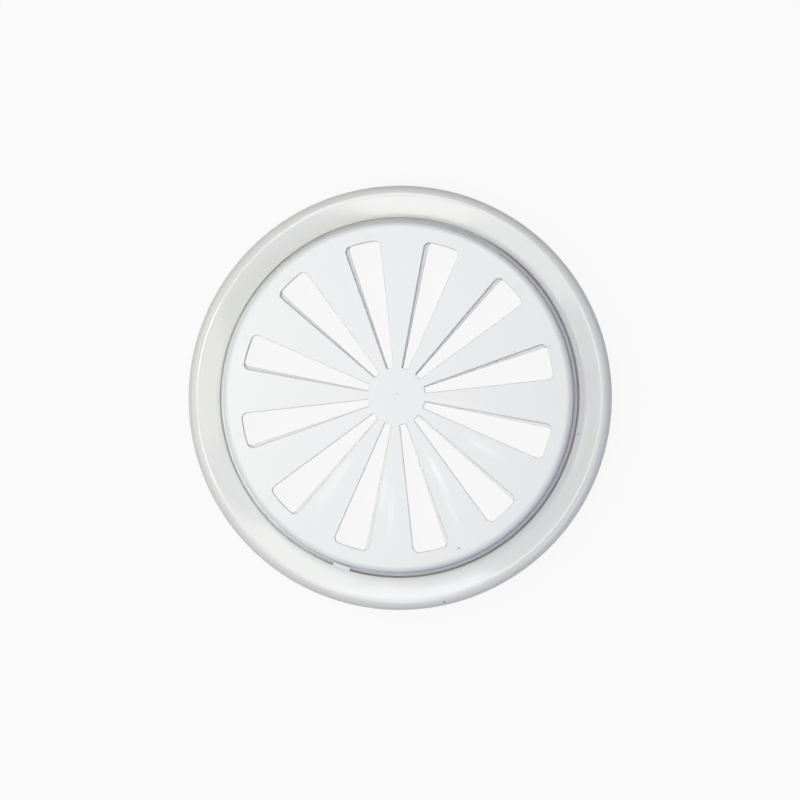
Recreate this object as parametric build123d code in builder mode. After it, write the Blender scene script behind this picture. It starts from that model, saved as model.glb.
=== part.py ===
from build123d import *

import os
from math import cos, radians, sin, tan

# Round closable vent: a fixed frame with a slotted grille, and a slotted disc that turns in front of it.
# Millimetres and degrees. +Z points out of the wall, and the origin is the centre of the wall plane.
# Angles count from +X towards +Y, as seen from the room.

# Spigot that enters the duct, one tube with the raised seat of the grille
spigot_diameter = 124.0
spigot_wall = 1.8
spigot_depth = 12.0
lead_in_depth = 2.0
lead_in_inset = 0.7

# Fixed grille across the front end of the tube
grille_height = 10.3
grille_thickness = 2.0
seat_chamfer = 0.6

# Slots of the disc, and those of the grille, which are a little longer at both ends
slot_count = 12
hub_radius = 10.4
slot_end_land = 3.4
slot_angle_width = 13.4
slot_outer_corner = 2.0
grille_slot_relief = 0.6
grille_first_slot = 11.6

# Turning disc: a slotted face with a rounded edge, a skirt and a foot
disc_gap = 0.3
disc_thickness = 2.0
disc_edge_rounding = 2.3
skirt_clearance = 0.3
skirt_wall = 1.1
skirt_draft = 2.0
foot_width = 1.75
foot_thickness = 1.0
foot_gap = 0.3

# Groove that the foot runs in
groove_floor = 1.6
groove_gap = 0.6

# Rim that lies on the wall: a rolled edge and a band that falls towards the disc
rim_width = 11.75
rim_wall = 1.8
rim_height = 6.0
roll_radius = 3.6
band_slope = 15.0

# Nib on the rim that reaches over the foot
nib_angle = 251.4
nib_angle_width = 5.6
nib_gap = 0.7

# Snap pin on the disc and the boss that it turns in
pin_radius = 3.0
pin_clearance = 0.05
boss_radius = 9.6
boss_depth = 3.0
snap_play = 0.2
snap_overhang = 0.6
snap_length = 2.4
snap_tip_radius = 2.4
split_width = 1.2
split_root = 1.0

# Stop peg on the disc and the arc that it travels in
open_offset = 1.3
travel = 15.0
peg_circle_radius = 6.6
peg_radius = 1.1
peg_clearance = 0.2
peg_tip_gap = 0.8

# Radii that follow from the sizes above, from the tube outwards
spigot_radius = spigot_diameter / 2
spigot_inner_radius = spigot_radius - spigot_wall
slot_outer_radius = spigot_inner_radius - slot_end_land
skirt_inner_radius = spigot_radius + skirt_clearance
skirt_top_radius = skirt_inner_radius + skirt_wall
foot_radius = skirt_top_radius + foot_width
opening_radius = foot_radius + groove_gap
rim_radius = opening_radius + rim_width
crest_radius = rim_radius - roll_radius

# Heights that follow from the sizes above, from the wall outwards
foot_bottom = groove_floor + foot_gap
foot_top = foot_bottom + foot_thickness
grille_back = grille_height - grille_thickness
boss_back = grille_back - boss_depth
disc_back = grille_height + disc_gap
disc_face = disc_back + disc_thickness
snap_shoulder = boss_back - snap_play
snap_tip = snap_shoulder - snap_length
skirt_bottom_radius = skirt_top_radius + (disc_face - foot_top) * tan(radians(skirt_draft))

# Band of the rim: where it leaves the roll, and its low edge at the opening
band_start_radius = crest_radius - roll_radius * sin(radians(band_slope))
band_start_height = rim_height - roll_radius * (1 - cos(radians(band_slope)))
band_low = band_start_height - (band_start_radius - opening_radius) * tan(radians(band_slope))

disc_first_slot = grille_first_slot + open_offset
peg_angle = disc_first_slot + 180 / slot_count


def radial_plane(angle):
    """Give the upright plane through the axis whose x points outwards at an angle."""
    turn = radians(angle)
    return Plane((0, 0, 0), x_dir=(cos(turn), sin(turn), 0), z_dir=(sin(turn), -cos(turn), 0))


def rim_outline():
    """Draw the rim's closed section on the wall plane."""
    edge = Line((rim_radius, 0), (rim_radius, rim_height - roll_radius))
    roll = JernArc(edge @ 1, tangent=(0, 1), radius=roll_radius, arc_size=90 + band_slope)
    band = Line(roll @ 1, (opening_radius, band_low))
    Polyline(band @ 1, (opening_radius, 0), (rim_radius, 0))


def hollow_outline():
    """Draw the hollow behind the rim, one wall in from its faces, with straight sides."""
    inner = opening_radius + rim_wall
    outer = rim_radius - rim_wall
    top = rim_height - rim_wall
    band_end = crest_radius - (roll_radius - rim_wall) * tan(radians(band_slope / 2))
    low = top - (band_end - inner) * tan(radians(band_slope))
    Polyline(
        (inner, 0),
        (outer, 0),
        (outer, rim_height - roll_radius),
        (crest_radius, top),
        (band_end, top),
        (inner, low),
        close=True,
    )


def tube_section(inner, outer, low, high):
    """Draw one rectangle of a turned section between two radii and two heights."""
    with Locations(((inner + outer) / 2, (low + high) / 2)):
        Rectangle(outer - inner, high - low)


def slot_pattern(first_angle, relief=0):
    """Draw the ring of slots: straight radial sides, arcs at both ends and rounded outer corners."""
    half = radians(slot_angle_width / 2)
    inner = hub_radius - relief
    outer = slot_outer_radius + relief
    with BuildSketch(mode=Mode.PRIVATE) as slot:
        with BuildLine():
            inner_low = (inner * cos(half), -inner * sin(half))
            inner_high = (inner * cos(half), inner * sin(half))
            outer_low = (outer * cos(half), -outer * sin(half))
            outer_high = (outer * cos(half), outer * sin(half))
            Line(inner_low, outer_low)
            ThreePointArc(outer_low, (outer, 0), outer_high)
            Line(outer_high, inner_high)
            ThreePointArc(inner_high, (inner, 0), inner_low)
        make_face()
        fillet(slot.vertices().sort_by(Axis.X)[-2:], slot_outer_corner)
    with PolarLocations(0, slot_count, start_angle=first_angle):
        add(slot.sketch)


os.makedirs("parts", exist_ok=True)

# Frame: rim, groove, tube and grille in one moulding
with BuildPart() as frame:
    with BuildSketch(Plane.XZ):
        with BuildLine():
            rim_outline()
        make_face()
        with BuildLine():
            hollow_outline()
        make_face(mode=Mode.SUBTRACT)
    revolve(axis=Axis.Z)

    with BuildSketch(Plane.XZ) as cup_section:
        tube_section(spigot_inner_radius, opening_radius + rim_wall, 0, groove_floor)
        tube_section(0, spigot_radius, grille_back, grille_height)
        chamfer(cup_section.vertices().group_by(Axis.Y)[-1].sort_by(Axis.X)[-1], seat_chamfer)
        tube_section(spigot_inner_radius, spigot_radius, -spigot_depth, grille_back)
        spigot_end = cup_section.vertices().group_by(Axis.Y)[0].sort_by(Axis.X)[-1]
        chamfer(spigot_end, lead_in_inset, lead_in_depth)
    revolve(axis=Axis.Z)

    with BuildSketch(Plane.XY.offset(boss_back)):
        Circle(boss_radius)
    extrude(amount=boss_depth)

    with BuildSketch(Plane.XY.offset(boss_back)):
        slot_pattern(grille_first_slot, grille_slot_relief)
        Circle(pin_radius + pin_clearance)
        SlotArc(
            CenterArc((0, 0), peg_circle_radius, peg_angle - open_offset, travel),
            height=2 * (peg_radius + peg_clearance),
        )
    extrude(amount=grille_height - boss_back, mode=Mode.SUBTRACT)

    nib_inner_radius = skirt_bottom_radius + nib_gap
    with BuildSketch(radial_plane(nib_angle - nib_angle_width / 2)):
        tube_section(nib_inner_radius, opening_radius + rim_wall / 2, foot_top + foot_gap, band_low)
    revolve(axis=Axis.Z, revolution_arc=nib_angle_width)

frame.part.label = "frame"
export_step(frame.part, "parts/frame.step")

# Disc: face, skirt, foot, snap pin and stop peg in one moulding
with BuildPart() as rotary_disc:
    with BuildSketch(Plane.XZ) as disc_section:
        with BuildLine():
            Polyline(
                (0, disc_back),
                (skirt_inner_radius, disc_back),
                (skirt_inner_radius, foot_bottom),
                (foot_radius, foot_bottom),
                (foot_radius, foot_top),
                (skirt_bottom_radius, foot_top),
                (skirt_top_radius, disc_face),
                (0, disc_face),
                close=True,
            )
        make_face()
        fillet(disc_section.vertices().group_by(Axis.Y)[-1].sort_by(Axis.X)[-1], disc_edge_rounding)
    revolve(axis=Axis.Z)

    with BuildSketch(Plane.XY.offset(disc_back)):
        slot_pattern(disc_first_slot)
    extrude(amount=disc_thickness, mode=Mode.SUBTRACT)

    with BuildSketch(Plane.XZ):
        with BuildLine():
            Polyline(
                (0, snap_tip),
                (snap_tip_radius, snap_tip),
                (pin_radius + snap_overhang, snap_shoulder),
                (pin_radius, snap_shoulder),
                (pin_radius, disc_back),
                (0, disc_back),
                close=True,
            )
        make_face()
    revolve(axis=Axis.Z)
    with BuildSketch(Plane.XY.offset(snap_tip)):
        Rectangle(split_width, 2 * (pin_radius + snap_overhang))
    extrude(amount=disc_back - split_root - snap_tip, mode=Mode.SUBTRACT)

    with BuildSketch(Plane.XY.offset(boss_back + peg_tip_gap)):
        with PolarLocations(peg_circle_radius, 1, start_angle=peg_angle):
            Circle(peg_radius)
    extrude(amount=disc_back - boss_back - peg_tip_gap)

rotary_disc.part.label = "rotary_disc"
export_step(rotary_disc.part, "parts/rotary_disc.step")
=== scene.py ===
"""Looks of a closable round vent: a moulded frame with its fixed grille, and a slotted disc that turns in it.

Sizes and places are millimetres in the part's own frame, apart from the lamps' own, which are metres. Angles
are degrees from +X towards +Y, unless a docstring says radians. +Z points out of the wall, and the origin is
the centre of the wall plane. Meshes are in metres.
"""

from __future__ import annotations

import logging
import math
from abc import ABC, abstractmethod
from dataclasses import dataclass
from enum import Enum

import bmesh
import bpy
from mathutils import Matrix, Vector

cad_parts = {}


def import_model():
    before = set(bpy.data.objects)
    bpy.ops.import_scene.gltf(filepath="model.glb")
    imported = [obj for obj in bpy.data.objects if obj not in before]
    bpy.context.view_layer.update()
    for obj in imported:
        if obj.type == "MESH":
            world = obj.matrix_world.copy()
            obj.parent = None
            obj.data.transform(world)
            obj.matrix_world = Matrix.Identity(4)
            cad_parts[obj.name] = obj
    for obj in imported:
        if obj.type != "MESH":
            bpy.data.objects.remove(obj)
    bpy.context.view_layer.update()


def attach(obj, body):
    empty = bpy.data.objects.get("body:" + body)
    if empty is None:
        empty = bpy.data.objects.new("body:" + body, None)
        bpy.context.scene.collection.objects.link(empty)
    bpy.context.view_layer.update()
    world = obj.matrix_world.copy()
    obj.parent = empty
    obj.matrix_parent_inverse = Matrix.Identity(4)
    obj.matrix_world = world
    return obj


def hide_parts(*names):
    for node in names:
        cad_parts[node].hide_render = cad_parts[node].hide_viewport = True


Mesh = bmesh.types.BMesh
Vert = bmesh.types.BMVert
Edge = bmesh.types.BMEdge
Face = bmesh.types.BMFace
Socket = bpy.types.NodeSocket
Colour = tuple[float, float, float]
Point = tuple[float, float, float] | Vector

MM = 0.001
FULL_TURN = 2 * math.pi
QUARTER_TURN = math.pi / 2
UP = Vector((0, 0, 1))
LOG = logging.getLogger("round_vent")

# Points nearer to each other than this many metres are merged
MERGE_DISTANCE = 2e-6
# Points within this many millimetres of a height or a radius count as on it
SLACK = 0.01
# A face is level where its normal's upright share is above this
LEVEL_SHARE = 0.99999


class Body(Enum):
    """The rigid bodies that a piece can ride on."""

    FRAME = "frame"
    DISC = "disc"


class Finish(Enum):
    """The record's material slots."""

    RIM_PLASTIC = "rim_plastic"
    DISC_PLASTIC = "disc_plastic"


def direction(bearing: float, elevation: float = 0.0) -> Vector:
    """Give the unit vector that points away from the part's centre.

    Args:
        bearing: Angle round the part's axis.
        elevation: Angle above the wall plane.

    Returns:
        The unit vector.
    """
    turn = math.radians(bearing)
    rise = math.radians(elevation)
    return Vector((math.cos(rise) * math.cos(turn), math.cos(rise) * math.sin(turn), math.sin(rise)))


class MeshKit:
    """Shared bmesh operations for moulded round parts."""

    @staticmethod
    def verts_in(geom: list) -> list[Vert]:
        """Pick the points out of mixed geometry."""
        return [item for item in geom if isinstance(item, Vert)]

    @staticmethod
    def ends(edges: list[Edge]) -> list[Vert]:
        """List the ends of edges, each point once."""
        return list(dict.fromkeys(vert for edge in edges for vert in edge.verts))

    @staticmethod
    def turn(bm: Mesh, verts: list[Vert], angle: float) -> None:
        """Turn points about the part's axis."""
        bmesh.ops.rotate(bm, verts=verts, cent=Vector(), matrix=Matrix.Rotation(math.radians(angle), 3, "Z"))

    @staticmethod
    def spin_section(bm: Mesh, edges: list[Edge], steps: int) -> None:
        """Turn an open section a full turn about the part's axis."""
        geom = MeshKit.ends(edges) + edges
        bmesh.ops.spin(bm, geom=geom, cent=Vector(), axis=UP, angle=FULL_TURN, steps=steps, use_merge=True)

    @staticmethod
    def repeat_round(bm: Mesh, geom: list, count: int) -> None:
        """Copy geometry round the part's axis until there are count of it."""
        angle = FULL_TURN * (count - 1) / count
        bmesh.ops.spin(
            bm, geom=geom, cent=Vector(), axis=UP, angle=angle, steps=count - 1, use_duplicate=True
        )

    @staticmethod
    def open_edges(bm: Mesh, height: float, inner: float, outer: float) -> list[Edge]:
        """Find the open edges at a height whose ends lie between two radii.

        Args:
            bm: The mesh to search.
            height: Height of the edges.
            inner: Smallest radius of their ends.
            outer: Largest radius of their ends.

        Returns:
            The edges, in the mesh's own order.
        """

        def inside(vert: Vert) -> bool:
            """Tell whether a point is at the height and between the radii."""
            radius = math.hypot(vert.co.x, vert.co.y) / MM
            level = abs(vert.co.z / MM - height) < SLACK
            return level and inner - SLACK <= radius <= outer + SLACK

        loose = [edge for edge in bm.edges if len(edge.link_faces) < 2]
        return [edge for edge in loose if all(inside(vert) for vert in edge.verts)]

    @staticmethod
    def fill_flat(bm: Mesh, edges: list[Edge], facing: Vector) -> None:
        """Fill a flat outline that may have holes."""
        bmesh.ops.triangle_fill(bm, edges=edges, use_beauty=True, use_dissolve=False, normal=facing)

    @staticmethod
    def append(bm: Mesh, part: Mesh) -> None:
        """Add a mesh to another.

        Args:
            bm: The mesh that grows.
            part: The mesh that is added to it, and freed.
        """
        mesh = bpy.data.meshes.new("part")
        part.to_mesh(mesh)
        part.free()
        bm.from_mesh(mesh)
        bpy.data.meshes.remove(mesh)

    @staticmethod
    def link(bm: Mesh, name: str) -> bpy.types.Object:
        """Make an object of a mesh.

        Args:
            bm: The finished mesh, which is freed.
            name: Name of the object.

        Returns:
            The new object, linked to the scene.
        """
        mesh = bpy.data.meshes.new(name)
        bm.to_mesh(mesh)
        bm.free()
        piece = bpy.data.objects.new(name, mesh)
        bpy.context.scene.collection.objects.link(piece)
        return piece

    @staticmethod
    def to_object(bm: Mesh, name: str, sharp_angle: float) -> bpy.types.Object:
        """Merge doubles, point faces outwards and make a smooth-shaded object whose level faces stay flat.

        Args:
            bm: The finished mesh, which is freed.
            name: Name of the object.
            sharp_angle: Edges that bend by more than this stay sharp.

        Returns:
            The new object, linked to the scene.
        """
        bmesh.ops.remove_doubles(bm, verts=bm.verts[:], dist=MERGE_DISTANCE)
        bmesh.ops.recalc_face_normals(bm, faces=bm.faces[:])
        level = {face for face in bm.faces if abs(face.normal.z) > LEVEL_SHARE}
        for face in bm.faces:
            face.smooth = True
        for edge in bm.edges:
            sides = sum(face in level for face in edge.link_faces)
            edge.smooth = sides != 1 and edge.calc_face_angle(0) < math.radians(sharp_angle)
        return MeshKit.link(bm, name)


class Pen:
    """Draws one chain of edges in a bmesh with lines and arcs."""

    def __init__(self, bm: Mesh, start: Point, axis: Vector) -> None:
        """Put the first point down.

        Args:
            bm: The mesh to draw in.
            start: The first point.
            axis: Axis that arcs turn about.
        """
        self.bm = bm
        self.axis = axis
        self.known = set(bm.edges)
        self.first = bmesh.ops.create_vert(bm, co=Vector(start) * MM)["vert"][0]
        self.last = self.first

    @property
    def edges(self) -> list[Edge]:
        """The edges drawn so far."""
        return [edge for edge in self.bm.edges if edge not in self.known]

    def line_to(self, point: Point) -> None:
        """Draw a straight edge.

        Args:
            point: Where the edge ends.
        """
        made = bmesh.ops.extrude_vert_indiv(self.bm, verts=[self.last])
        self.last = made["verts"][0]
        self.last.co = Vector(point) * MM

    def arc(self, centre: Point, angle: float, steps: int) -> None:
        """Draw an arc from the last point.

        Args:
            centre: Centre of the arc.
            angle: How far it turns about the pen's axis, in radians.
            steps: How many edges it has.
        """
        made = bmesh.ops.spin(
            self.bm, geom=[self.last], cent=Vector(centre) * MM, axis=self.axis, angle=angle, steps=steps
        )
        self.last = MeshKit.verts_in(made["geom_last"])[0]

    def join(self) -> None:
        """Weld the last point, which lies on the first, into it."""
        bmesh.ops.weld_verts(self.bm, targetmap={self.last: self.first})


class SectionPen(Pen):
    """A pen for turned sections: it draws in the plane of radius and height."""

    def __init__(self, bm: Mesh, radius: float, height: float) -> None:
        """Put the first point down at a radius and height."""
        super().__init__(bm, (radius, 0, height), Vector((0, -1, 0)))

    def to(self, radius: float, height: float) -> None:
        """Draw a straight edge to a radius and height."""
        self.line_to((radius, 0, height))

    def turn(self, radius: float, height: float, angle: float, steps: int) -> None:
        """Draw an arc about a centre, counterclockwise where the angle is positive."""
        self.arc((radius, 0, height), math.radians(angle), steps)


class Moulding(ABC):
    """A piece that is moulded in one, of one plastic."""

    @abstractmethod
    def build(self) -> bpy.types.Object:
        """Build the whole moulding as one mesh."""

    def dress(self, piece: bpy.types.Object, finish: MouldedPlastic) -> None:
        """Give the built piece its plastic."""
        piece.data.materials.append(finish.material())


@dataclass(frozen=True)
class SlotRing:
    """A ring of wedge slots, in the grille or in the disc."""

    count: int = 12
    inner_radius: float = 10.4
    outer_radius: float = 56.8
    angle_width: float = 13.4
    outer_corner: float = 2.0
    inner_corner: float = 0.4
    end_steps: int = 10
    corner_steps: int = 6
    edge_steps: int = 4

    def walls(self, bm: Mesh, first_angle: float, top: float, bottom: float, rounding: float) -> None:
        """Make the upright walls of every slot, with a rounded front edge.

        Args:
            bm: The mesh to build in.
            first_angle: Angle of the first slot's middle.
            top: Height of the face that the slots open in.
            bottom: Height of the back of the plate.
            rounding: Radius of the front edge.
        """
        levels = []
        for step in range(self.edge_steps + 1):
            angle = QUARTER_TURN * step / self.edge_steps
            levels.append((top - rounding * (1 - math.cos(angle)), rounding * (1 - math.sin(angle))))
        levels.append((bottom, 0.0))
        known = set(bm.verts) | set(bm.edges) | set(bm.faces)
        loops = [self._outline(bm, height, grow) for height, grow in levels]
        for upper, lower in zip(loops, loops[1:]):
            bmesh.ops.bridge_loops(bm, edges=upper + lower)
        geom = [item for item in (*bm.verts, *bm.edges, *bm.faces) if item not in known]
        MeshKit.turn(bm, MeshKit.verts_in(geom), first_angle)
        MeshKit.repeat_round(bm, geom, self.count)

    def _outline(self, bm: Mesh, height: float, grow: float) -> list[Edge]:
        """Draw one closed slot about the +X direction.

        Args:
            bm: The mesh to draw in.
            height: Height of the outline.
            grow: How far the outline stands outside the slot's own walls.

        Returns:
            The outline's edges.
        """
        half = math.radians(self.angle_width / 2)
        away = Vector((-math.sin(half), math.cos(half)))
        outer = self._corner_centre(half, self.outer_radius - self.outer_corner, self.outer_corner)
        inner = self._corner_centre(half, self.inner_radius + self.inner_corner, self.inner_corner)
        outer_angle = math.atan2(outer.y, outer.x)
        inner_angle = math.atan2(inner.y, inner.x)
        outer_turn = half + QUARTER_TURN - outer_angle
        inner_turn = inner_angle + QUARTER_TURN - half
        outer_touch = outer + away * (self.outer_corner + grow)
        inner_touch = inner + away * (self.inner_corner + grow)
        reach = self.outer_radius + grow
        pen = Pen(bm, (reach * math.cos(outer_angle), -reach * math.sin(outer_angle), height), UP)
        pen.arc((0, 0, height), 2 * outer_angle, self.end_steps)
        pen.arc((outer.x, outer.y, height), outer_turn, self.corner_steps)
        pen.line_to((inner_touch.x, inner_touch.y, height))
        pen.arc((inner.x, inner.y, height), inner_turn, self.corner_steps)
        pen.arc((0, 0, height), -2 * inner_angle, self.end_steps)
        pen.arc((inner.x, -inner.y, height), inner_turn, self.corner_steps)
        pen.line_to((outer_touch.x, -outer_touch.y, height))
        pen.arc((outer.x, -outer.y, height), outer_turn, self.corner_steps)
        pen.join()
        return pen.edges

    @staticmethod
    def _corner_centre(half: float, from_axis: float, rounding: float) -> Vector:
        """Find the centre of a corner on the slot's upper side.

        Args:
            half: Half the slot's angle, in radians.
            from_axis: Distance of the centre from the part's axis.
            rounding: Radius of the corner.

        Returns:
            The centre, one rounding inside the slot's side.
        """
        along = math.sqrt(from_axis**2 - rounding**2)
        return Vector((
            along * math.cos(half) + rounding * math.sin(half),
            along * math.sin(half) - rounding * math.cos(half),
        ))


@dataclass(frozen=True)
class Frame(Moulding):
    """The fixed moulding: rim, groove, tube with the duct spigot, and grille."""

    slots: SlotRing = SlotRing(inner_radius=9.8, outer_radius=57.4)
    first_slot: float = 11.6
    rim_radius: float = 77.5
    rim_height: float = 6.0
    roll_radius: float = 3.6
    roll_steps: int = 28
    rim_wall: float = 1.8
    band_slope: float = 15.0
    opening_radius: float = 65.75
    opening_rounding: float = 0.35
    opening_steps: int = 6
    back_rounding: float = 0.3
    back_steps: int = 4
    groove_floor: float = 1.6
    spigot_radius: float = 62.0
    spigot_wall: float = 1.8
    spigot_depth: float = 12.0
    lead_in_depth: float = 2.0
    lead_in_inset: float = 0.7
    grille_height: float = 10.3
    grille_thickness: float = 2.0
    seat_chamfer: float = 0.6
    slot_edge: float = 0.15
    boss_radius: float = 9.6
    boss_depth: float = 3.0
    bore_radius: float = 3.05
    hub_steps: int = 96
    stop_circle: float = 6.6
    stop_half_width: float = 1.3
    stop_first_angle: float = 26.6
    stop_travel: float = 15.0
    stop_side_steps: int = 6
    stop_end_steps: int = 10
    nib_bottom: float = 3.2
    nib_inner_radius: float = 64.439
    nib_angle: float = 251.4
    nib_steps: int = 7
    steps: int = 450
    sharp_angle: float = 40.0

    @property
    def grille_back(self) -> float:
        """Height of the grille's back."""
        return self.grille_height - self.grille_thickness

    @property
    def boss_back(self) -> float:
        """Height of the boss's back."""
        return self.grille_back - self.boss_depth

    @property
    def crest_radius(self) -> float:
        """Radius of the rim's crest, where the roll has its centre."""
        return self.rim_radius - self.roll_radius

    @property
    def roll_start(self) -> float:
        """Radius at which the band meets the roll."""
        return self.crest_radius - self.roll_radius * math.sin(math.radians(self.band_slope))

    @property
    def nib_half_angle(self) -> float:
        """Half the angle that the nib takes up, in whole steps of the turned shell."""
        return 180 * self.nib_steps / self.steps

    def build(self) -> bpy.types.Object:
        """Build the whole moulding as one mesh.

        Returns:
            The moulding's object.
        """
        bm = bmesh.new()
        self._hub(bm)
        self._stop_arc(bm)
        self.slots.walls(bm, self.first_slot, self.grille_height, self.grille_back, self.slot_edge)
        self._turned_shell(bm)
        self._nib(bm)
        for height, inner, outer, facing in (
            (self.grille_height, 0, self.spigot_radius, UP),
            (self.grille_back, self.boss_radius, self.spigot_radius, -UP),
            (self.boss_back, 0, self.boss_radius, -UP),
        ):
            MeshKit.fill_flat(bm, MeshKit.open_edges(bm, height, inner, outer), facing)
        return MeshKit.to_object(bm, "frame_moulding", self.sharp_angle)

    def _band_height(self, radius: float) -> float:
        """Give the height of the band's straight slope.

        Args:
            radius: Where on the band.

        Returns:
            The height there.
        """
        slope = math.radians(self.band_slope)
        start_height = self.rim_height - self.roll_radius * (1 - math.cos(slope))
        return start_height - (self.roll_start - radius) * math.tan(slope)

    def _turned_shell(self, bm: Mesh) -> None:
        """Turn the section that runs from the grille's front edge, round the rim, to the grille's back edge.

        Args:
            bm: The mesh to build in.
        """
        inner = self.opening_radius
        wall = self.rim_wall
        roll_height = self.rim_height - self.roll_radius
        slope = math.radians(self.band_slope)
        lip_centre = inner + self.opening_rounding
        lip_height = self._band_height(lip_centre) - self.opening_rounding / math.cos(slope)
        back_centre = self.rim_radius - self.back_rounding
        hollow_top = self.rim_height - wall
        hollow_bend = self.crest_radius - (self.roll_radius - wall) * math.tan(slope / 2)
        tube_inner = self.spigot_radius - self.spigot_wall
        pen = SectionPen(bm, self.spigot_radius - self.seat_chamfer, self.grille_height)
        pen.to(self.spigot_radius, self.grille_height - self.seat_chamfer)
        pen.to(self.spigot_radius, self.groove_floor)
        pen.to(inner, self.groove_floor)
        pen.to(inner, self.nib_bottom)
        pen.to(inner, lip_height)
        pen.turn(lip_centre, lip_height, -(90 - self.band_slope), self.opening_steps)
        pen.to(self.roll_start, self._band_height(self.roll_start))
        pen.turn(self.crest_radius, roll_height, -(90 + self.band_slope), self.roll_steps)
        pen.to(self.rim_radius, self.back_rounding)
        pen.turn(back_centre, self.back_rounding, -90, self.back_steps)
        pen.to(self.rim_radius - wall, 0)
        pen.to(self.rim_radius - wall, roll_height)
        pen.to(self.crest_radius, hollow_top)
        pen.to(hollow_bend, hollow_top)
        pen.to(inner + wall, hollow_top - (hollow_bend - inner - wall) * math.tan(slope))
        pen.to(inner + wall, 0)
        pen.to(self.spigot_radius, 0)
        pen.to(self.spigot_radius, self.lead_in_depth - self.spigot_depth)
        pen.to(self.spigot_radius - self.lead_in_inset, -self.spigot_depth)
        pen.to(tube_inner, -self.spigot_depth)
        pen.to(tube_inner, self.grille_back)
        edges = pen.edges
        phase = (self.nib_angle + self.nib_half_angle) % (360 / self.steps)
        MeshKit.turn(bm, MeshKit.ends(edges), phase)
        MeshKit.spin_section(bm, edges, self.steps)

    def _nib(self, bm: Mesh) -> None:
        """Draw the nib out of the opening's wall, towards the axis.

        Args:
            bm: The mesh that holds the turned shell.
        """
        faces = [face for face in bm.faces if self._in_nib(face)]
        made = bmesh.ops.extrude_face_region(bm, geom=faces)
        verts = MeshKit.verts_in(made["geom"])
        bmesh.ops.delete(bm, geom=faces, context="FACES")
        shrink = self.nib_inner_radius / self.opening_radius
        bmesh.ops.scale(bm, verts=verts, vec=Vector((shrink, shrink, 1)))

    def _in_nib(self, face: Face) -> bool:
        """Tell whether a face belongs to the nib.

        Args:
            face: A face of the turned shell.

        Returns:
            True where it is on the opening's wall, above the nib's underside and within its angle.
        """
        facet_slack = 0.05
        centre = face.calc_center_median() / MM
        on_wall = abs(math.hypot(centre.x, centre.y) - self.opening_radius) < facet_slack
        above = centre.z > self.nib_bottom
        turn = (math.degrees(math.atan2(centre.y, centre.x)) - self.nib_angle + 180) % 360 - 180
        return on_wall and above and abs(turn) < self.nib_half_angle

    def _hub(self, bm: Mesh) -> None:
        """Make the walls of the boss and of its bore.

        Args:
            bm: The mesh to build in.
        """
        for radius, top in ((self.boss_radius, self.grille_back), (self.bore_radius, self.grille_height)):
            pen = SectionPen(bm, radius, top)
            pen.to(radius, self.boss_back)
            MeshKit.spin_section(bm, pen.edges, self.hub_steps)

    def _stop_arc(self, bm: Mesh) -> None:
        """Make the walls of the arc that the stop peg travels in.

        Args:
            bm: The mesh to build in.
        """
        travel = math.radians(self.stop_travel)
        top = UP * self.grille_height
        near = direction(self.stop_first_angle)
        far = direction(self.stop_first_angle + self.stop_travel)
        pen = Pen(bm, near * (self.stop_circle + self.stop_half_width) + top, UP)
        pen.arc(top, travel, self.stop_side_steps)
        pen.arc(far * self.stop_circle + top, math.pi, self.stop_end_steps)
        pen.arc(top, -travel, self.stop_side_steps)
        pen.arc(near * self.stop_circle + top, math.pi, self.stop_end_steps)
        pen.join()
        made = bmesh.ops.extrude_edge_only(bm, edges=pen.edges)
        drop = UP * (self.boss_back - self.grille_height) * MM
        bmesh.ops.translate(bm, verts=MeshKit.verts_in(made["geom"]), vec=drop)


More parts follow.
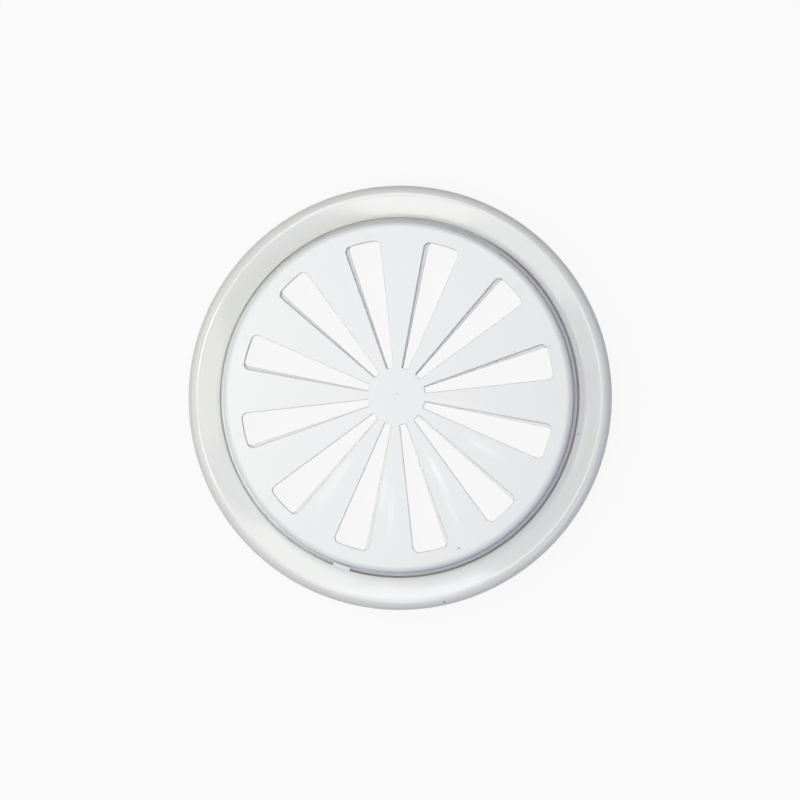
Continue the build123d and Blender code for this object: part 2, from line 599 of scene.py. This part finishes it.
@dataclass(frozen=True)
class TurningDisc(Moulding):
    """The slotted disc with its rounded edge, skirt, foot, snap pin and stop peg."""

    slots: SlotRing = SlotRing()
    first_slot: float = 12.9
    slot_edge: float = 0.3
    face: float = 12.6
    thickness: float = 2.0
    edge_rounding: float = 2.3
    edge_steps: int = 14
    skirt_top: float = 63.4
    skirt_bottom: float = 63.739
    skirt_inner: float = 62.3
    foot_radius: float = 65.15
    foot_top: float = 2.9
    foot_bottom: float = 1.9
    foot_rounding: float = 0.25
    foot_steps: int = 4
    foot_fillet: float = 0.5
    fillet_steps: int = 6
    gate_outer: float = 1.1
    gate_inner: float = 0.5
    gate_depth: float = 0.25
    gate_steps: int = 48
    pin_radius: float = 3.0
    pin_shoulder: float = 5.1
    pin_head: float = 3.6
    pin_tip: float = 2.7
    pin_tip_radius: float = 2.4
    pin_steps: int = 48
    split_half: float = 0.6
    peg_circle: float = 6.6
    peg_angle: float = 27.9
    peg_radius: float = 1.1
    peg_tip: float = 6.1
    peg_chamfer: float = 0.3
    peg_steps: int = 32
    sink: float = 0.1
    steps: int = 360
    sharp_angle: float = 40.0

    @property
    def back(self) -> float:
        """Height of the face's back."""
        return self.face - self.thickness

    @property
    def root(self) -> float:
        """Height at which the pin and the peg end, a little inside the face."""
        return self.back + self.sink

    def build(self) -> bpy.types.Object:
        """Build the whole moulding as one mesh.

        Returns:
            The moulding's object.
        """
        bm = bmesh.new()
        self._gate_mark(bm)
        self.slots.walls(bm, self.first_slot, self.face, self.back, self.slot_edge)
        self._turned_shell(bm)
        MeshKit.fill_flat(bm, MeshKit.open_edges(bm, self.face, self.gate_outer, self.skirt_top), UP)
        MeshKit.fill_flat(bm, MeshKit.open_edges(bm, self.back, 0, self.skirt_inner), -UP)
        self._snap_pin(bm)
        self._stop_peg(bm)
        return MeshKit.to_object(bm, "disc_moulding", self.sharp_angle)

    def _turned_shell(self, bm: Mesh) -> None:
        """Turn the section that runs from the face's flat, over the edge and foot, to the back.

        Args:
            bm: The mesh to build in.
        """
        corner = self.edge_rounding
        draft = math.degrees(math.atan2(self.skirt_bottom - self.skirt_top, self.face - self.foot_top))
        turn = 90 - draft
        flat = self.skirt_top - corner * math.tan(math.radians(turn / 2))
        fillet = self.foot_fillet
        fillet_start = self.skirt_bottom - fillet * math.tan(math.radians(draft))
        fillet_height = self.foot_top + fillet
        foot = self.foot_rounding
        pen = SectionPen(bm, flat, self.face)
        pen.turn(flat, self.face - corner, -turn, self.edge_steps)
        pen.to(fillet_start, fillet_height)
        pen.turn(fillet_start + fillet, fillet_height, 90, self.fillet_steps)
        pen.to(self.foot_radius - foot, self.foot_top)
        pen.turn(self.foot_radius - foot, self.foot_top - foot, -90, self.foot_steps)
        pen.to(self.foot_radius, self.foot_bottom)
        pen.to(self.skirt_inner, self.foot_bottom)
        pen.to(self.skirt_inner, self.back)
        MeshKit.spin_section(bm, pen.edges, self.steps)

    def _gate_mark(self, bm: Mesh) -> None:
        """Turn the small sunk ring that the moulding gate left in the middle of the face.

        Args:
            bm: The mesh to build in.
        """
        pen = SectionPen(bm, self.gate_outer, self.face)
        pen.to(self.gate_outer - self.gate_depth, self.face - self.gate_depth)
        pen.to(self.gate_inner + self.gate_depth, self.face - self.gate_depth)
        pen.to(self.gate_inner, self.face)
        pen.to(0, self.face)
        MeshKit.spin_section(bm, pen.edges, self.gate_steps)

    def _snap_pin(self, bm: Mesh) -> None:
        """Make the two legs of the split pin, each cut from one turned pin.

        Args:
            bm: The mesh that the legs are added to.
        """
        for side in (1, -1):
            leg = bmesh.new()
            pen = SectionPen(leg, 0, self.pin_tip)
            pen.to(self.pin_tip_radius, self.pin_tip)
            pen.to(self.pin_head, self.pin_shoulder)
            pen.to(self.pin_radius, self.pin_shoulder)
            pen.to(self.pin_radius, self.root)
            pen.to(0, self.root)
            MeshKit.spin_section(leg, pen.edges, self.pin_steps)
            bmesh.ops.remove_doubles(leg, verts=leg.verts[:], dist=MERGE_DISTANCE)
            geom = leg.verts[:] + leg.edges[:] + leg.faces[:]
            outwards = Vector((side, 0, 0))
            cut = outwards * self.split_half * MM
            bmesh.ops.bisect_plane(leg, geom=geom, plane_co=cut, plane_no=outwards, clear_inner=True)
            bmesh.ops.holes_fill(leg, edges=[edge for edge in leg.edges if edge.is_boundary], sides=0)
            MeshKit.append(bm, leg)

    def _stop_peg(self, bm: Mesh) -> None:
        """Make the peg that travels in the frame's stop arc.

        Args:
            bm: The mesh that the peg is added to.
        """
        peg = bmesh.new()
        pen = SectionPen(peg, 0, self.peg_tip)
        pen.to(self.peg_radius - self.peg_chamfer, self.peg_tip)
        pen.to(self.peg_radius, self.peg_tip + self.peg_chamfer)
        pen.to(self.peg_radius, self.root)
        pen.to(0, self.root)
        MeshKit.spin_section(peg, pen.edges, self.peg_steps)
        place = direction(self.peg_angle) * self.peg_circle * MM
        bmesh.ops.translate(peg, verts=peg.verts[:], vec=place)
        MeshKit.append(bm, peg)


class NodeGraph:
    """Builds the node tree of a material or of the world."""

    def __init__(self, owner: bpy.types.Material | bpy.types.World) -> None:
        """Start with an empty tree.

        Args:
            owner: The material or world whose nodes are made anew.
        """
        owner.use_nodes = True
        self.tree = owner.node_tree
        self.tree.nodes.clear()

    def _feed(self, socket: Socket, value: object) -> None:
        """Link an input to another socket, or set its value.

        Args:
            socket: The input.
            value: The socket that feeds it, or its value.
        """
        if isinstance(value, Socket):
            self.tree.links.new(value, socket)
        else:
            socket.default_value = value

    def node(self, kind: str, inputs: dict | None = None, **settings: object) -> bpy.types.Node:
        """Add a node.

        Args:
            kind: The node's type name.
            inputs: Values or sockets for its inputs, by name or index.
            settings: Values for the node's own properties.

        Returns:
            The new node.
        """
        node = self.tree.nodes.new(kind)
        for name, value in settings.items():
            setattr(node, name, value)
        for name, value in (inputs or {}).items():
            self._feed(node.inputs[name], value)
        return node

    def math(self, operation: str, *values: Socket | float) -> Socket:
        """Add a math node and give its result."""
        return self.node("ShaderNodeMath", dict(enumerate(values)), operation=operation).outputs[0]

    def product(self, first: Socket, *others: Socket | float) -> Socket:
        """Multiply values.

        Args:
            first: The first value.
            others: The values that it is multiplied by, one after the other.

        Returns:
            The product.
        """
        result = first
        for value in others:
            result = self.math("MULTIPLY", result, value)
        return result

    def measure(self, operation: str, place: Socket, vector: Point) -> Socket:
        """Measure a place against a fixed vector and give the number."""
        return self.node("ShaderNodeVectorMath", {0: place, 1: vector}, operation=operation).outputs["Value"]

    def ramp(self, value: Socket, low: float, high: float) -> Socket:
        """Turn a value smoothly into 0 at low and 1 at high."""
        inputs = {"Value": value, "From Min": low, "From Max": high}
        return self.node("ShaderNodeMapRange", inputs, interpolation_type="SMOOTHSTEP").outputs["Result"]

    def noise(self, place: Socket, scale: float, detail: float) -> Socket:
        """Add a noise pattern over a place and give its grey value."""
        node = self.node("ShaderNodeTexNoise", {"Vector": place, "Scale": scale, "Detail": detail})
        return node.outputs["Fac"]

    def blend(self, factor: Socket, base: Socket | Colour, over: Colour) -> Socket:
        """Mix a colour over another.

        Args:
            factor: Share of the colour on top.
            base: The colour below, or the socket that gives it.
            over: The colour on top.

        Returns:
            The mixed colour.
        """
        node = self.node("ShaderNodeMix", data_type="RGBA")
        inputs = {socket.identifier: socket for socket in node.inputs}
        outputs = {socket.identifier: socket for socket in node.outputs}
        self._feed(inputs["Factor_Float"], factor)
        self._feed(inputs["A_Color"], base if isinstance(base, Socket) else (*base, 1))
        self._feed(inputs["B_Color"], (*over, 1))
        return outputs["Result_Color"]


@dataclass(frozen=True)
class PaintedGrooveShade:
    """Painted shade in a ring of the groove: a darker colour, full on one side of the vent and less or gone
    on the other.
    """

    colour: Colour
    bottom: float
    height: float
    depth: float
    inner_radius: float
    outer_radius: float
    bearing: float
    full_within: float
    gone_beyond: float
    fade: float = 0.3

    def share(self, graph: NodeGraph, place: Socket) -> Socket:
        """Give the share of painted shade on a surface.

        Args:
            graph: The material's nodes.
            place: Position on the surface.

        Returns:
            The share, from 0 to 1.
        """
        x, y, z = graph.node("ShaderNodeSeparateXYZ", {"Vector": place}).outputs
        squares = [graph.math("POWER", side, 2.0) for side in (x, y)]
        radius = graph.math("SQRT", graph.math("ADD", *squares))
        turn = graph.math("SUBTRACT", graph.math("ARCTAN2", y, x), math.radians(self.bearing))
        gone = math.cos(math.radians(self.gone_beyond))
        full = math.cos(math.radians(self.full_within))
        return graph.product(
            graph.ramp(radius, self.inner_radius * MM, (self.inner_radius + self.fade) * MM),
            graph.ramp(radius, self.outer_radius * MM, (self.outer_radius - self.fade) * MM),
            graph.ramp(z, self.bottom * MM, (self.bottom + self.fade) * MM),
            graph.ramp(z, self.height * MM, (self.height - self.depth) * MM),
            graph.ramp(graph.math("COSINE", turn), gone, full),
        )


@dataclass(frozen=True)
class Blemish:
    """A small mark or smudge about one point of a surface."""

    place: Point
    radius: float
    colour: Colour
    strength: float = 1.0

    def share(self, graph: NodeGraph, place: Socket) -> Socket:
        """Give the share of the mark's colour on a surface, from 0 to its strength."""
        away = graph.measure("DISTANCE", place, Vector(self.place) * MM)
        return graph.product(graph.ramp(away, self.radius * MM, 0.0), self.strength)


@dataclass(frozen=True)
class Streak:
    """A rubbed streak along a radius, which shines more than the surface round it."""

    angle: float
    inner: float
    outer: float
    half_width: float
    strength: float = 1.0

    def share(self, graph: NodeGraph, place: Socket) -> Socket:
        """Give how far a surface is rubbed by the streak.

        Args:
            graph: The material's nodes.
            place: Position on the surface.

        Returns:
            The share, from 0 to the streak's strength.
        """
        along = graph.measure("DOT_PRODUCT", place, direction(self.angle))
        across = graph.measure("DOT_PRODUCT", place, direction(self.angle + 90))
        middle = (self.inner + self.outer) / 2 * MM
        return graph.product(
            graph.ramp(along, self.inner * MM, middle),
            graph.ramp(along, self.outer * MM, middle),
            graph.ramp(graph.math("ABSOLUTE", across), self.half_width * MM, 0.0),
            self.strength,
        )


@dataclass(frozen=True)
class MouldedPlastic:
    """Moulded plastic: faintly cloudy, with an uneven surface, painted shade in the groove, small marks and
    rubbed streaks.
    """

    name: str
    colour: Colour
    cloud_colour: Colour
    groove_shade: PaintedGrooveShade
    blemishes: tuple[Blemish, ...] = ()
    streaks: tuple[Streak, ...] = ()
    roughness: float = 0.1
    roughness_spread: float = 0.03
    rubbed_roughness: float = 0.06
    ior: float = 1.48
    cloud_scale: float = 60.0
    cloud_detail: float = 3.0
    peel_scale: float = 900.0
    peel_detail: float = 2.0
    peel_height: float = 0.02
    wave_scale: float = 45.0
    wave_detail: float = 0.0
    wave_height: float = 0.015

    def material(self) -> bpy.types.Material:
        """Make the material.

        Returns:
            The new material.
        """
        material = bpy.data.materials.new(self.name)
        graph = NodeGraph(material)
        place = graph.node("ShaderNodeTexCoord").outputs["Object"]
        clouds = graph.noise(place, self.cloud_scale, self.cloud_detail)
        relief = self._relief(graph, place)
        bump = graph.node("ShaderNodeBump", {"Height": relief, "Distance": MM, "Strength": 1.0})
        inputs = {
            "Base Color": self._colour(graph, place, clouds),
            "Roughness": self._gloss(graph, place, clouds),
            "Normal": bump.outputs["Normal"],
            "IOR": self.ior,
        }
        shader = graph.node("ShaderNodeBsdfPrincipled", inputs)
        graph.node("ShaderNodeOutputMaterial", {"Surface": shader.outputs["BSDF"]})
        return material

    def _colour(self, graph: NodeGraph, place: Socket, clouds: Socket) -> Socket:
        """Give the plastic's colour with its painted groove shade and marks.

        Args:
            graph: The material's nodes.
            place: Position on the surface.
            clouds: Share of the cloud colour there.

        Returns:
            The colour.
        """
        colour = graph.blend(clouds, self.colour, self.cloud_colour)
        # The first of these is painted shade in the groove; the rest are marks on the plastic
        for mark in (self.groove_shade, *self.blemishes):
            colour = graph.blend(mark.share(graph, place), colour, mark.colour)
        return colour

    def _gloss(self, graph: NodeGraph, place: Socket, clouds: Socket) -> Socket:
        """Give the roughness, which varies with the clouds and is lower along the streaks.

        Args:
            graph: The material's nodes.
            place: Position on the surface.
            clouds: Share of the cloud colour there.

        Returns:
            The roughness.
        """
        smoothest = self.roughness - self.roughness_spread / 2
        gloss = graph.math("MULTIPLY_ADD", clouds, self.roughness_spread, smoothest)
        for streak in self.streaks:
            rubbed = graph.math("SUBTRACT", self.rubbed_roughness, gloss)
            gloss = graph.math("MULTIPLY_ADD", rubbed, streak.share(graph, place), gloss)
        return gloss

    def _relief(self, graph: NodeGraph, place: Socket) -> Socket:
        """Give the surface's fine peel and slow waves.

        Args:
            graph: The material's nodes.
            place: Position on the surface.

        Returns:
            The height in millimetres.
        """
        peel = graph.product(graph.noise(place, self.peel_scale, self.peel_detail), self.peel_height)
        wave = graph.product(graph.noise(place, self.wave_scale, self.wave_detail), self.wave_height)
        return graph.math("ADD", peel, wave)


@dataclass(frozen=True)
class Softbox:
    """One soft lamp that shines on the vent, square unless it has a height of its own, in metres."""

    name: str
    bearing: float
    elevation: float
    side: float
    level: float
    colour: Colour = (1.0, 1.0, 1.0)
    height: float | None = None
    distance: float = 1.2

    def light(self) -> None:
        """Make the lamp.

        A level of 1 lights a flat face that is square to the lamp as brightly as its colour is written.
        """
        data = bpy.data.lights.new(self.name, "AREA")
        data.shape = "RECTANGLE"
        data.size = self.side
        data.size_y = self.height or self.side
        data.energy = self.level * (math.pi * self.distance) ** 2
        data.color = self.colour
        away = direction(self.bearing, self.elevation)
        aim = away.to_track_quat("Z", "Y").to_matrix().to_4x4()
        lamp = bpy.data.objects.new(self.name, data)
        lamp.matrix_world = Matrix.Translation(away * self.distance) @ aim
        bpy.context.scene.collection.objects.link(lamp)


@dataclass(frozen=True)
class Studio:
    """Floor, lamps, world and the camera that looks down on the vent as the photograph does."""

    lamps: tuple[Softbox, ...]
    ambient: Colour = (0.02, 0.02, 0.02)
    floor_colour: Colour = (0.7, 0.7, 0.7)
    floor_glow: float = 0.9
    floor_height: float = -12.0
    floor_side: float = 4000.0
    target: Point = (0.4, -1.0, 1.6)
    distance: float = 812.0
    tilt: float = 4.8
    bearing: float = -22.3
    lens: float = 100.0
    nearest_seen: float = 10.0
    farthest_seen: float = 20000.0

    def build(self) -> None:
        """Make the floor, the world, the lamps and the camera."""
        self._floor()
        self._world()
        for lamp in self.lamps:
            lamp.light()
        self._camera()

    def _floor(self) -> None:
        """Make the floor."""
        bm = bmesh.new()
        bmesh.ops.create_grid(bm, x_segments=1, y_segments=1, size=self.floor_side / 2 * MM)
        bmesh.ops.translate(bm, verts=bm.verts[:], vec=UP * self.floor_height * MM)
        floor = MeshKit.link(bm, "floor")
        floor.data.materials.append(self._floor_paper())

    def _floor_paper(self) -> bpy.types.Material:
        """Make the pale paper, which looks near white where it is seen and keeps the vent's shadow.

        Returns:
            The new material.
        """
        material = bpy.data.materials.new("floor_paper")
        graph = NodeGraph(material)
        paper = graph.node("ShaderNodeBsdfDiffuse", {"Color": (*self.floor_colour, 1)})
        glow = graph.node("ShaderNodeEmission", {"Strength": 1.0})
        share = graph.product(self._seen_directly(graph), self.floor_glow)
        mix = graph.node("ShaderNodeMixShader", {0: share, 1: paper.outputs[0], 2: glow.outputs[0]})
        graph.node("ShaderNodeOutputMaterial", {"Surface": mix.outputs[0]})
        return material

    def _world(self) -> None:
        """Make the world: a faint ambient light, and white where it is seen."""
        world = bpy.data.worlds.new("studio")
        bpy.context.scene.world = world
        graph = NodeGraph(world)
        ambient = graph.node("ShaderNodeBackground", {"Color": (*self.ambient, 1), "Strength": 1.0})
        white = graph.node("ShaderNodeBackground", {"Color": (1, 1, 1, 1), "Strength": 1.0})
        seen = self._seen_directly(graph)
        mix = graph.node("ShaderNodeMixShader", {0: seen, 1: ambient.outputs[0], 2: white.outputs[0]})
        graph.node("ShaderNodeOutputWorld", {"Surface": mix.outputs[0]})

    @staticmethod
    def _seen_directly(graph: NodeGraph) -> Socket:
        """Tell rays that show a surface to the eye, also by way of gloss or glass, from the others.

        Args:
            graph: The nodes of the floor or the world.

        Returns:
            1 for such rays, and 0 for the others.
        """
        path = graph.node("ShaderNodeLightPath").outputs
        mirrored = graph.math("MAXIMUM", path["Is Glossy Ray"], path["Is Transmission Ray"])
        return graph.math("MAXIMUM", path["Is Camera Ray"], mirrored)

    def _camera(self) -> None:
        """Make the camera and set it as the scene's camera."""
        away = direction(self.bearing, 90 - self.tilt)
        right = Vector((0, 1, 0)).cross(away).normalized()
        up = away.cross(right)
        data = bpy.data.cameras.new("camera")
        data.lens = self.lens
        data.clip_start = self.nearest_seen * MM
        data.clip_end = self.farthest_seen * MM
        camera = bpy.data.objects.new("camera", data)
        place = (Vector(self.target) + away * self.distance) * MM
        camera.matrix_world = Matrix.Translation(place) @ Matrix((right, up, away)).transposed().to_4x4()
        bpy.context.scene.collection.objects.link(camera)
        bpy.context.scene.camera = camera


DIRT_BROWN = (0.42, 0.33, 0.24)
DUST_BROWN = (0.62, 0.56, 0.48)
NICK_GREY = (0.22, 0.22, 0.24)
RIM_FINISH = MouldedPlastic(
    name="rim_plastic",
    colour=(0.78, 0.785, 0.785),
    cloud_colour=(0.77, 0.775, 0.775),
    # Painted shade: brown darkening of the groove, full towards the lower right and gone towards the upper
    # left, standing in for the shade in the gap between rim and disc
    groove_shade=PaintedGrooveShade(
        colour=(0.30, 0.24, 0.17), bottom=0.8, height=3.5, depth=0.8, inner_radius=62.2, outer_radius=66.3,
        bearing=-27, full_within=75, gone_beyond=95,
    ),
    blemishes=(
        Blemish(place=(16.7, -74.4, 5.1), radius=0.8, colour=NICK_GREY),
        Blemish(place=(65.2, -13.6, 4.2), radius=0.7, colour=NICK_GREY, strength=0.7),
        Blemish(place=(35.9, 12.7, Frame.grille_height), radius=0.8, colour=NICK_GREY, strength=0.7),
    ),
)

# Faint smudges near the outer ends of the disc's slots
SMUDGE_PLACES = (
    (-54.9, 21.3),
    (-39.3, 42.5),
    (-10.2, 57.7),
    (44.0, 38.6),
    (55.2, 17.7),
    (-56.6, -13.7),
    (-45.7, -36.4),
)
SMUDGES = tuple(
    Blemish(place=(x, y, TurningDisc.face), radius=2.2, colour=DUST_BROWN, strength=0.15)
    for x, y in SMUDGE_PLACES
)
DISC_FINISH = MouldedPlastic(
    name="disc_plastic",
    colour=(0.852, 0.868, 0.886),
    cloud_colour=(0.842, 0.858, 0.876),
    # Painted shade: blue-grey darkening of the disc's foot down in the groove, full on the right and gone on
    # the left, standing in for the shade there
    groove_shade=PaintedGrooveShade(
        colour=(0.55, 0.56, 0.61), bottom=1.4, height=4.2, depth=1.2, inner_radius=63.0, outer_radius=66.3,
        bearing=5, full_within=120, gone_beyond=180,
    ),
    blemishes=(
        Blemish(place=(22.4, -54.6, TurningDisc.face), radius=0.7, colour=DIRT_BROWN),
        *SMUDGES,
    ),
    streaks=(
        Streak(angle=234.0, inner=22.0, outer=56.0, half_width=2.6),
        Streak(angle=262.6, inner=24.0, outer=48.0, half_width=1.6),
        Streak(angle=267.4, inner=30.0, outer=56.0, half_width=1.8),
        Streak(angle=297.8, inner=18.0, outer=46.0, half_width=1.7),
        Streak(angle=295.8, inner=34.0, outer=56.0, half_width=1.2),
        Streak(angle=329.5, inner=26.0, outer=47.0, half_width=2.0),
        Streak(angle=353.5, inner=11.0, outer=34.0, half_width=1.0, strength=0.7),
    ),
    roughness=0.32,
)
LAMPS = (
    Softbox("overhead", bearing=157, elevation=85, side=0.36, level=0.088),
    Softbox("overhead_wide", bearing=157, elevation=85, side=0.9, level=0.12, colour=(0.92, 0.89, 1.0)),
    Softbox(
        "window_left", bearing=163, elevation=63.5, side=0.042, height=0.045, level=0.07,
        colour=(1.0, 1.0, 0.8), distance=0.286,
    ),
    Softbox(
        "window_lower_left", bearing=191, elevation=64, side=0.038, height=0.045, level=0.05,
        colour=(1.0, 1.0, 0.8), distance=0.285,
    ),
    Softbox("top_left", bearing=108, elevation=70, side=0.3, level=0.112, colour=(0.91, 0.95, 1.0)),
    Softbox("top_right", bearing=72, elevation=70, side=0.3, level=0.082, colour=(1.0, 1.0, 0.91)),
    Softbox("right", bearing=0, elevation=70, side=0.3, level=0.043, colour=(1.0, 0.95, 0.75)),
    Softbox("bottom", bearing=252, elevation=70, side=0.3, level=0.096, colour=(1.0, 1.0, 0.86)),
    Softbox("bottom_left", bearing=216, elevation=66, side=0.3, level=0.048),
    Softbox("low_bottom", bearing=270, elevation=56, side=0.3, level=0.06, colour=(0.65, 0.75, 1.0)),
    Softbox("low_right", bearing=324, elevation=45, side=0.6, level=0.165, colour=(0.72, 0.74, 1.0)),
    Softbox("low_left", bearing=172, elevation=37, side=0.9, level=0.18, colour=(1.0, 1.0, 0.9)),
    Softbox(
        "strip", bearing=180, elevation=85.8, side=0.05, height=0.105, level=0.011, colour=(1.0, 0.93, 0.7)
    ),
)


def main() -> None:
    """Build the vent, light it and report its pieces."""
    logging.basicConfig(level=logging.INFO, format="%(name)s: %(message)s")
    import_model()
    for moulding, body, node, slot, finish in (
        (Frame(), Body.FRAME, "frame", Finish.RIM_PLASTIC, RIM_FINISH),
        (TurningDisc(), Body.DISC, "rotary_disc", Finish.DISC_PLASTIC, DISC_FINISH),
    ):
        piece = moulding.build()
        moulding.dress(piece, finish)
        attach(piece, body.value)
        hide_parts(node)
        LOG.info("%s: %d faces", piece.name, len(piece.data.polygons))
    Studio(LAMPS).build()
    bpy.context.scene.view_settings.view_transform = "Standard"


if __name__ == "__main__":
    main()
